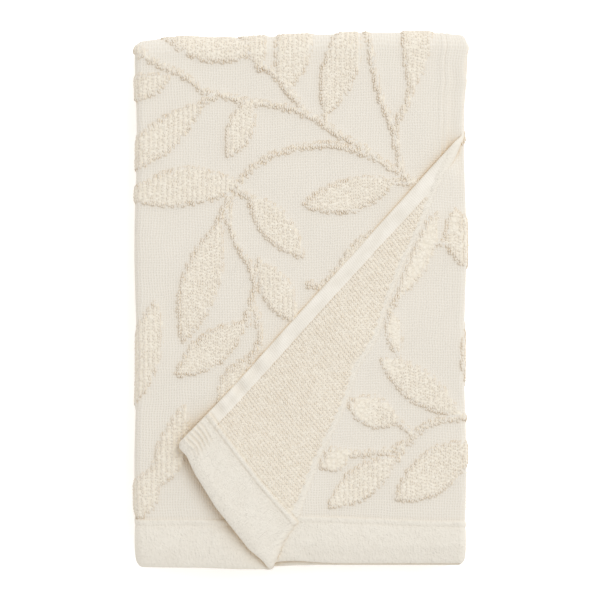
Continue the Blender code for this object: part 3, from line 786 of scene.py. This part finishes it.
# %% [markdown]
# ## Cotton
#
# All of the towel is one yarn: undyed, carded cotton. It is matt, a warm white, and slightly
# fuzzy, so it has a high roughness and, where it isn't terry, a little sheen, which lightens it
# towards its edges. What changes from place to place is how it is made up: a plain weave, loops,
# or the shorn pile of the hems. So there is one function for the fibre, and each finish of the
# sheet adds its own bumps. Light that goes from fibre to fibre in a crevice comes out warmer, so
# each finish paints a warm shade into its colour where a place sees little open sky.


# %% Nodes and the fibre
def node(tree, kind, links=(), values=(), **settings):
    """Adds a node with its properties, its (socket, source) links and its (socket, value) numbers."""
    made = tree.nodes.new(kind)
    for key, value in settings.items():
        setattr(made, key, value)
    for socket, value in values:
        made.inputs[socket].default_value = value
    for socket, source in links:
        tree.links.new(source, made.inputs[socket])
    return made


ROUGHNESS, SPECULAR, SHEEN_ROUGHNESS = 0.92, 0.05, 0.5
CREVICE_REACH, CREVICE_SKY, OPEN_SKY, SKY_SAMPLES = 9.0, 0.2, 0.95, 6


def cotton(name, light, deep, sheen=0.1, crevice_shade="#FFE9C6"):
    """A cotton finish with painted warm shade in its crevices, and what to build on: its tree, its shader,
    and the mix of its light and deep colours.
    """
    material = bpy.data.materials.new(name)
    material.use_nodes = True
    tree = material.node_tree
    shader = tree.nodes["Principled BSDF"]
    shader.inputs["Roughness"].default_value = ROUGHNESS
    shader.inputs["Specular IOR Level"].default_value = SPECULAR
    shader.inputs["Sheen Weight"].default_value = sheen
    shader.inputs["Sheen Roughness"].default_value = SHEEN_ROUGHNESS
    yarns = [("A", linear(deep)), ("B", linear(light))]
    mix = node(tree, "ShaderNodeMix", values=yarns, data_type="RGBA")
    # Painted shade: an occlusion node makes the colour warmer and deeper where a place sees little open
    # sky.
    reach = [("Distance", CREVICE_REACH * MM)]
    sky = node(tree, "ShaderNodeAmbientOcclusion", values=reach, samples=SKY_SAMPLES)
    sky_range = [("From Min", CREVICE_SKY), ("From Max", OPEN_SKY)]
    openness = node(tree, "ShaderNodeMapRange", [("Value", sky.outputs["AO"])], sky_range)
    tints = [("A", linear(crevice_shade)), ("B", (1, 1, 1, 1))]
    painted_shade_tint = node(tree, "ShaderNodeMix", [("Factor", openness.outputs[0])], tints, data_type="RGBA")
    parts = [("A", mix.outputs["Result"]), ("B", painted_shade_tint.outputs["Result"])]
    warm = node(tree, "ShaderNodeMix", parts, [("Factor", 1)], data_type="RGBA", blend_type="MULTIPLY")
    tree.links.new(warm.outputs["Result"], shader.inputs["Base Color"])
    return material, tree, shader, mix


def math_node(operation, *values):
    """The result socket of a math node on sockets and numbers, in the tree of its sockets."""
    sockets = [value for value in values if not isinstance(value, (int, float))]
    tree = sockets[0].id_data
    made = node(tree, "ShaderNodeMath", operation=operation)
    for socket, value in zip(made.inputs, values):
        if value in sockets:
            tree.links.new(value, socket)
        else:
            socket.default_value = value
    return made.outputs[0]


# %% [markdown]
# ## Four finishes of one cotton
#
# The flat ground is a plain weave: each weft yarn goes over one warp yarn and under the next. The
# cloth's own UV map holds its place in metres, so cosines of it give yarns 1.1 mm apart, and noise
# stretched along them makes the yarns uneven. The shorn hems are mottled, the side hems have close
# ribs, and the cloth under the loops is knotted.

# %% Woven cotton, shorn hems and side hems
YARN_PITCH, RIB_PITCH, THREAD_PITCH = 1.1, 0.95, 0.8
WEAVE_DEPTH, FUZZ_DEPTH, RIB_DEPTH, KNOT_DEPTH = 0.2, 0.6, 0.07, 0.5
# A yarn's slubs as stretched noise, how much they vary, its least width, its dip and its height
WARP = ((900, 60, 1), 0.9, 0.45, 0.3, 0.7)
WEFT = ((60, 900, 1), 0.8, 0.4, -0.3, 0.6)
KNOTS = 700


def cloth_place(tree):
    """The socket of the cloth's own UV map: a place on the flat cloth, in metres."""
    return node(tree, "ShaderNodeUVMap", uv_map="cloth").outputs[0]


def wave(source, pitch_mm):
    """0.5 plus half the cosine of a length over a pitch."""
    turns = math_node("MULTIPLY_ADD", source, 2 * math.pi / (pitch_mm * MM), 0.0)
    return math_node("MULTIPLY_ADD", math_node("COSINE", turns), 0.5, 0.5)


def noise(tree, source, scale, detail=2, stretch=(1, 1, 1), turn=0.0):
    """Noise on a vector that is first turned about z and stretched."""
    turned = node(
        tree, "ShaderNodeMapping", [("Vector", source)], [("Scale", stretch), ("Rotation", (0, 0, turn))]
    )
    size = [("Scale", scale), ("Detail", detail)]
    return node(tree, "ShaderNodeTexNoise", [("Vector", turned.outputs[0])], size).outputs[0]


def add_finish(tree, shader, mix, height, depth_mm, share):
    """Turns a height socket into the shader's normal, and a share socket into the mix of yarn colours."""
    depth = [("Strength", 1.0), ("Distance", depth_mm * MM)]
    bumps = node(tree, "ShaderNodeBump", [("Height", height)], depth)
    tree.links.new(bumps.outputs[0], shader.inputs["Normal"])
    tree.links.new(share, mix.inputs["Factor"])


def woven_cotton():
    """Plain weave: the higher of warp and weft, each a cosine ridge that dips under the other, with painted
    shade where the weave is low.
    """
    material, tree, shader, mix = cotton("woven_cotton_ground", "#D5D0C7", "#CBC3B6", crevice_shade="#FFE6C0")
    uv = cloth_place(tree)
    split = node(tree, "ShaderNodeSeparateXYZ", [("Vector", uv)])
    drift = math_node("MULTIPLY_ADD", noise(tree, uv, 90, 3), 0.0022, -0.0011)
    places = [math_node("ADD", split.outputs[side], drift) for side in (0, 1)]
    waves = [wave(place, 2 * YARN_PITCH) for place in places]
    over = math_node("MULTIPLY", *(math_node("MULTIPLY_ADD", w, 2.0, -1.0) for w in waves))
    yarns = []
    for place, (stretch, varies, least, dips, rises) in zip(places, (WARP, WEFT)):
        slub = math_node("MULTIPLY_ADD", noise(tree, uv, 1, 2, stretch), varies, least)
        dip = math_node("MULTIPLY_ADD", over, dips, rises)
        width = math_node("MULTIPLY", dip, slub)
        yarns.append(math_node("MULTIPLY", wave(place, YARN_PITCH), width))
    height = math_node("MAXIMUM", *yarns)
    # Painted shade: the colour follows the weave's height, so it is deeper in the hollows between the
    # yarns.
    add_finish(tree, shader, mix, height, WEAVE_DEPTH, math_node("MULTIPLY_ADD", height, 0.9, 0.3))
    return material


def shorn_cotton():
    """The hems' velour: fine fuzz, and soft mottling that runs slantwise."""
    material, tree, shader, mix = cotton("shorn_cotton_hem", "#DAD5CB", "#CFC8BC")
    uv = cloth_place(tree)
    fuzz = noise(tree, uv, 1300, 3)
    slant = noise(tree, uv, 1, 3, (1100, 420, 1), 0.9)
    soft = noise(tree, uv, 160, 3)
    slanted = math_node("MULTIPLY", slant, 0.9)
    height = math_node("ADD", math_node("MULTIPLY", fuzz, 0.7), slanted)
    height = math_node("MULTIPLY_ADD", soft, 1.2, height)
    share = math_node("MULTIPLY_ADD", soft, 0.5, math_node("MULTIPLY", slant, 0.7))
    add_finish(tree, shader, mix, height, FUZZ_DEPTH, share)
    return material


def side_hem_cotton():
    """The turned side hem: close weft ribs across the strip, with uneven yarn."""
    material, tree, shader, mix = cotton("side_hem_cotton", "#DAD5CC", "#CFC9BE")
    uv = cloth_place(tree)
    split = node(tree, "ShaderNodeSeparateXYZ", [("Vector", uv)])
    drift = math_node("MULTIPLY_ADD", noise(tree, uv, 120, 2), 0.002, -0.001)
    ribs = wave(math_node("ADD", split.outputs[1], drift), RIB_PITCH)
    threads = wave(split.outputs[0], THREAD_PITCH)
    patches = noise(tree, uv, 1, 2, (150, 90, 1))
    uneven = math_node("MULTIPLY_ADD", patches, 1.2, ribs)
    height = math_node("MULTIPLY_ADD", threads, 0.3, uneven)
    gauzy = math_node("MULTIPLY_ADD", patches, 2.4, -0.7)
    # The colour is mostly random patches, and the ribs' small share paints shade into their valleys.
    add_finish(tree, shader, mix, height, RIB_DEPTH, math_node("MULTIPLY_ADD", ribs, 0.12, gauzy))
    return material


def terry_ground_cotton():
    """The cloth under the loops and inside the folds: knots of yarn, as bumps from a cell pattern, with
    painted shade between the knots.
    """
    names = "terry_cotton_base", "#DCD6CA", "#D4CCBD"
    material, tree, shader, mix = cotton(*names, sheen=0.0, crevice_shade="#FFEFD6")
    cells = node(tree, "ShaderNodeTexVoronoi", [("Vector", cloth_place(tree))], [("Scale", KNOTS)])
    height = math_node("MULTIPLY_ADD", cells.outputs["Distance"], -1.0, 1.0)
    # Painted shade: the colour follows the knots' height, so it is deeper between them.
    add_finish(tree, shader, mix, height, KNOT_DEPTH, height)
    return material


ground = woven_cotton()
shorn = shorn_cotton()
side_hem = side_hem_cotton()
terry_base = terry_ground_cotton()

# %% Build the sheet
columns, rows = len(ACROSS_LINES), len(ALONG_LINES)
across_grid, along_grid = (g.ravel() for g in np.meshgrid(ACROSS_LINES, ALONG_LINES, indexing="ij"))
face_points = fold_cloth(across_grid, along_grid, face_offset(across_grid, along_grid))
reverse_points = fold_cloth(across_grid, along_grid, -reverse_offset(across_grid, along_grid))
sheet_faces = np.concatenate(
    [
        grid_faces(columns, rows, 0, False),
        grid_faces(columns, rows, columns * rows, True),
        rim_faces(columns, rows, columns * rows),
    ]
)
cloth = add_mesh("towel_cloth", np.concatenate([face_points, reverse_points]), sheet_faces, ground)
add_uv(cloth, np.tile(across_grid, 2), np.tile(along_grid, 2))

# %% [markdown]
# Each cell of the sheet gets its finish from its place on the flat cloth: shorn hems at both ends,
# side hems on the reverse, woven ground on the face, and terry on the reverse and under the leaves.
# The rim round the turned fold, where the pile is pressed flat, looks like the shorn hems.

# %% Which finish goes where
for finish in (shorn, side_hem, terry_base):
    cloth.data.materials.append(finish)
cell_across = np.tile(across_grid, 2)[sheet_faces].mean(axis=1)
cell_along = np.tile(along_grid, 2)[sheet_faces].mean(axis=1)
on_face = (sheet_faces < columns * rows).all(axis=1)
in_end_hem = np.minimum(cell_along, LENGTH - cell_along) < END_HEM
in_side_hem = np.minimum(cell_across, WIDTH - cell_across) < SIDE_HEM + 0.5
under_pile = (pile_inside(cell_across, cell_along) > 0.9) & (pile_shows(cell_across, cell_along) > 0.5)
on_rim = (past_rim(cell_across, cell_along) < 0.5) & on_face_panel(cell_across, cell_along)
looped = (~on_face & ~on_rim) | under_pile
pressed = ~on_face & on_rim
finishes = np.select([in_end_hem | pressed, ~on_face & in_side_hem, looped], [1, 2, 3], 0)
cloth.data.polygons.foreach_set("material_index", finishes.astype(np.int32))
print("cells by finish:", np.bincount(finishes))


# %% [markdown]
# ## Loops of yarn
#
# Terry is made of loops that stand on the ground cloth. Each one here is a short closed tube, bent
# to a low arch and half sunk, with four sides and a few rings, because it is repeated thousands of
# times. The loops stand in the loom's rows and columns, drawn together two by two, and then differ:
# each leans, twists and rises a little differently from the next.

# %% Terry loops
LOOP_RINGS, LOOP_SIDES, FOOT_TURN, FLATNESS, STEP = 5, 4, 0.12, 0.5, 0.05


def loop_shape():
    """One arch of yarn: its line as (span, rise) for each ring, from foot to foot."""
    turn = np.linspace(-FOOT_TURN, 1 + FOOT_TURN, LOOP_RINGS) * math.pi
    return -np.cos(turn) / 2, np.sin(turn)


def make_loops(name, across, along, side, span, rise, yarn, sunk, twist, lean):
    """A mesh of yarn arches at places on the cloth. side is 1 on its face and -1 on its reverse.

    Each arch is laid out in the cloth's own frame there: the along direction, the across direction
    and the normal, all from small steps of the folding function. It leans by a length across and a
    length along, times the square of its rise. Its feet are sunk in the cloth, and its yarn is
    pressed flat to a share of its width.
    """
    surface = face_offset(across, along) if side > 0 else -reverse_offset(across, along)
    offset = surface - side * sunk
    centre = fold_cloth(across, along, offset)
    normal = fold_cloth(across, along, offset + side * STEP) - centre
    forward = fold_cloth(across, along + STEP, offset) - centre
    normal /= np.linalg.norm(normal, axis=1, keepdims=True)
    forward /= np.linalg.norm(forward, axis=1, keepdims=True)
    sideways = np.cross(normal, forward)
    turned = forward * np.cos(twist)[:, None] + sideways * np.sin(twist)[:, None]
    flank = np.cross(normal, turned)
    leaning = sideways * lean[0][:, None] + forward * lean[1][:, None]
    line_span, line_rise = loop_shape()
    count = len(across)
    spine = (
        centre[:, None]
        + turned[:, None] * (span[:, None] * line_span)[..., None]
        + normal[:, None] * (rise[:, None] * line_rise)[..., None]
        + leaning[:, None] * (np.maximum(line_rise, 0) ** 2)[:, None]
    )
    tangent = np.gradient(spine, axis=1)
    tangent /= np.linalg.norm(tangent, axis=2, keepdims=True)
    outward = np.cross(flank[:, None], tangent)
    turns = (np.arange(LOOP_SIDES) + 0.5) * 2 * math.pi / LOOP_SIDES
    pressed_side = outward[:, :, None] * FLATNESS * np.cos(turns)[:, None]
    ring = (pressed_side + flank[:, None, None] * np.sin(turns)[:, None]) * yarn[:, None, None, None]
    points = (spine[:, :, None] + ring).reshape(-1, 3)
    corner = np.arange(LOOP_RINGS - 1)[:, None] * LOOP_SIDES
    here, there = np.arange(LOOP_SIDES), (np.arange(LOOP_SIDES) + 1) % LOOP_SIDES
    quads = np.stack(
        [corner + here, corner + LOOP_SIDES + here, corner + LOOP_SIDES + there, corner + there], axis=-1
    ).reshape(-1, 4)
    caps = np.array([np.arange(LOOP_SIDES), np.arange(LOOP_SIDES)[::-1] + (LOOP_RINGS - 1) * LOOP_SIDES])
    one = np.concatenate([quads, caps])
    faces = (np.arange(count)[:, None, None] * LOOP_RINGS * LOOP_SIDES + one).reshape(-1, 4)
    piece = add_mesh(name, points, faces, terry)
    per_loop = LOOP_RINGS * LOOP_SIDES
    add_uv(piece, np.repeat(across, per_loop), np.repeat(along, per_loop))
    # Each ring's height on its arch, which the loop finish uses to paint shade at the foot.
    add_attribute(piece, "rise", np.tile(np.repeat(np.clip(line_rise, 0, 1), LOOP_SIDES), count))
    add_attribute(piece, "shade", np.repeat(rng.random(count), per_loop))
    return piece


def loop_places(across_lines, along_lines, jitter, draw=0.0, stagger=0.0):
    """Places on the loom's columns and rows, each moved by a random share of a millimetre.

    Columns are drawn together two by two, by up to a length, wherever the cloth does that, and each
    column is shifted along by its own random share of a length.
    """
    across, along = (g.ravel() for g in np.meshgrid(across_lines, along_lines, indexing="ij"))
    pair = np.repeat(1 - 2 * (np.arange(len(across_lines)) % 2), len(along_lines))
    across = across + pair * draw * in_columns(across, along) + jitter * rng.standard_normal(len(across))
    shifts = np.repeat(stagger * rng.random(len(across_lines)), len(along_lines))
    along = along + shifts + jitter * rng.standard_normal(len(along))
    return across, along


def in_columns(across, along):
    """How far the loops are drawn into columns, 0 to 1, as it drifts over the cloth."""
    drift = np.sin(across / 17 + 1.3) * np.sin(along / 23 + 0.4)
    near_left_fold = smooth_step(across, FACE_END - 26, FACE_END - 6) * (across < LEFT_END)
    return np.clip(0.6 + 0.6 * drift + 0.5 * near_left_fold, 0, 1)


def terry_cotton():
    """Looped yarn: painted shade makes it slightly deeper at the foot of each loop, and it differs a little
    from loop to loop at random.
    """
    names = "terry_cotton_loops", "#D5CEC3", "#CDC5B8"
    material, tree, _, mix = cotton(*names, sheen=0.0, crevice_shade="#FFF2DF")
    rise = node(tree, "ShaderNodeAttribute", attribute_name="rise").outputs["Fac"]
    shade = node(tree, "ShaderNodeAttribute", attribute_name="shade").outputs["Fac"]
    # Painted shade comes from the height on the arch, and each loop's own random tone from its shade
    # attribute.
    share = math_node("MULTIPLY_ADD", rise, 0.6, math_node("MULTIPLY", shade, 0.4))
    tree.links.new(share, mix.inputs["Factor"])
    return material


terry = terry_cotton()

# %% Loops on the leaves
ROW, COLUMN, COLUMN_DRAW, JITTER = 1.3, 1.0, 0.24, 0.12
NAP, NAP_SPREAD = (0.45, -0.3), 0.12
LOOP_EDGE, LOOP_SHOWS, LEAF_SUNK, FOLD_SUNK = 0.05, 0.4, 0.44, 0.3


def leaf_loops(name, across_lines, along_lines):
    """Loops wherever the face's raised pattern shows within the given columns and rows.

    On the top of the towel they are sunk in the mound that raises each leaf. The lower folds have
    no mound.
    """
    across, along = loop_places(across_lines, along_lines, JITTER, COLUMN_DRAW, ROW)
    shows = np.maximum(pile_shows(across, along), lower_pile_shows(across, along))
    keep = (pile_inside(across, along) > LOOP_EDGE) & (shows > LOOP_SHOWS)
    across, along = across[keep], along[keep]
    n = len(across)
    return make_loops(
        name,
        across,
        along,
        1,
        span=rng.uniform(1.3, 1.8, n),
        rise=rng.uniform(0.3, 0.44, n),
        yarn=rng.uniform(0.46, 0.56, n),
        sunk=np.where(pile_shows(across, along) > LOOP_SHOWS, LEAF_SUNK, FOLD_SUNK),
        twist=rng.normal(0, 0.3, n) * (1 - 0.8 * in_columns(across, along)),
        lean=[rng.normal(middle, NAP_SPREAD, n) for middle in NAP],
    )


# Round a fold the face is longer than the cloth's middle, so the loops there start out closer
LEFT_FOLD, RIGHT_FOLD = (FACE_END, LEFT_END, COLUMN * 0.66), (BACK_END, RIGHT_END, COLUMN * 0.5)
TOP_FOLD, FRONT_FOLD = (FRONT_END, TOP_END, ROW * 0.52), (MIDDLE_END, BOTTOM_END, ROW * 0.55)
HALF_WAY = 120
face_columns = lines((SIDE_HEM, FACE_END, COLUMN), LEFT_FOLD)
tuck_columns = lines(RIGHT_FOLD, (RIGHT_END, RIGHT_END + TUCK_SHOWN, COLUMN))
lower_rows = lines((END_HEM, HALF_WAY, ROW))
upper_rows = lines((HALF_WAY, FRONT_END, ROW), TOP_FOLD)
pile = [
    leaf_loops("face_leaf_loops_lower", face_columns, lower_rows),
    leaf_loops("face_leaf_loops_upper", face_columns, upper_rows),
    leaf_loops("tuck_leaf_loops_lower", tuck_columns, lower_rows),
    leaf_loops("tuck_leaf_loops_upper", tuck_columns, upper_rows),
]
side_rows = lines((TOP_END, LENGTH - END_HEM, ROW))
pile += [
    leaf_loops("left_fold_loops", lines(LEFT_FOLD), side_rows),
    leaf_loops("right_fold_loops", lines(RIGHT_FOLD), side_rows),
    leaf_loops("front_fold_loops", lines((LEFT_END, BACK_END, COLUMN)), lines(FRONT_FOLD)),
]

# %% [markdown]
# On the reverse, every pile yarn loops at every third weft, so the loops stand in straight rows.
# The rows run with the end hem, and they are what gives the turned corner its fine lines.

# %% Loops on the reverse, where the turned corner shows it
REVERSE_ROW, REVERSE_COLUMN, REVERSE_JITTER, REVERSE_SUNK = 1.4, 1.35, 0.07, 0.42
REVERSE_START, REVERSE_STOP, REVERSE_CLEAR = SIDE_HEM + 0.4, 106, SIDE_HEM + 0.2
reverse_columns = lines((REVERSE_START, REVERSE_STOP, REVERSE_COLUMN / 2))
reverse_rows = lines((END_HEM + 0.8, FRONT_END, REVERSE_ROW))
across, along = loop_places(reverse_columns, reverse_rows, REVERSE_JITTER)
distance = fold_distance(*face_plan(across, along))
every_second = np.repeat(np.arange(len(reverse_columns)) % 2 == 0, len(reverse_rows))
in_terry = past_rim(across, along) > rng.uniform(0.1, 0.9, len(across))
keep = in_terry & (across > REVERSE_CLEAR) & (every_second | (distance < ROLL_ARC))
across, along = across[keep], along[keep]
n = len(across)
pile.append(
    make_loops(
        "reverse_loops",
        across,
        along,
        -1,
        span=rng.uniform(0.9, 1.2, n),
        rise=rng.uniform(0.32, 0.48, n),
        yarn=rng.uniform(0.52, 0.6, n),
        sunk=REVERSE_SUNK,
        twist=rng.normal(1.1, 0.3, n),
        lean=(rng.normal(0, 0.12, n), rng.normal(0, 0.05, n)),
    )
)

# %% [markdown]
# ## Stage, light and camera
#
# The towel lies on a white table under a big, soft light from the upper right, with white walls
# all round that fill the shadows. The table glows a little, so that it stays white beside the
# towel. The camera looks straight down, from far enough away that the sides of the stack stay
# hidden behind its top.

# %% Floor
floor_material = bpy.data.materials.new("white_table")
floor_material.use_nodes = True
floor_shader = floor_material.node_tree.nodes["Principled BSDF"]
floor_shader.inputs["Base Color"].default_value = linear("#FBFBFB")
floor_shader.inputs["Roughness"].default_value = 0.9
floor_shader.inputs["Emission Color"].default_value = (1, 1, 1, 1)
floor_shader.inputs["Emission Strength"].default_value = 0.25
TABLE_HALF = 3000.0
table_corners = TABLE_HALF * np.array([(-1, -1, 0), (1, -1, 0), (1, 1, 0), (-1, 1, 0)])
floor = add_mesh("table_top", table_corners, np.array([(0, 1, 2, 3)]), floor_material)


# %% Lights
def soft_box(name, place, aim, size, power, colour):
    """A square area light at a place, turned to face its aim."""
    lamp = bpy.data.lights.new(name, "AREA")
    lamp.shape, lamp.size, lamp.energy, lamp.color = "SQUARE", size, power, colour
    light = bpy.data.objects.new(name, lamp)
    direction = np.array(aim) - np.array(place)
    light.location = place
    light.rotation_euler = Vector(direction).to_track_quat("-Z", "Y").to_euler()
    bpy.context.scene.collection.objects.link(light)


soft_box("key_light", place=(0.75, 0.85, 1.3), aim=(0, 0, 0), size=1.0, power=13, colour=(0.97, 1.0, 1.03))
world = bpy.data.worlds.new("white_room")
bpy.context.scene.world = world
world.use_nodes = True
world.node_tree.nodes["Background"].inputs["Color"].default_value = (1.01, 1.0, 0.985, 1)
world.node_tree.nodes["Background"].inputs["Strength"].default_value = 1.0

# %% Camera
PIXEL, PICTURE = 0.42, 600
LENS, SENSOR, FAR_CLIP = 180.0, 36.0, 10
CAMERA_X, CAMERA_Y = -0.63, 1.05
camera_data = bpy.data.cameras.new("camera")
camera_data.lens, camera_data.sensor_width = LENS, SENSOR
camera_data.clip_end = FAR_CLIP
camera = bpy.data.objects.new("camera", camera_data)
height = LENS / SENSOR * PIXEL * PICTURE + FRONT_LEG_Z + LAYER_PITCH + CLOTH / 2
camera.location = (np.array([CAMERA_X, CAMERA_Y, height]) + CENTRE_SHIFT) * MM
bpy.context.scene.collection.objects.link(camera)
bpy.context.scene.camera = camera
bpy.context.scene.view_settings.view_transform = "Standard"

# %% [markdown]
# ## Tie the pieces to the part
#
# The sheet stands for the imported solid, and the loops lie on the sheet. All ride on the part's one
# body.

# %% Declare and finish
for piece in [cloth, *pile]:
    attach(piece, "root")
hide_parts("towel")
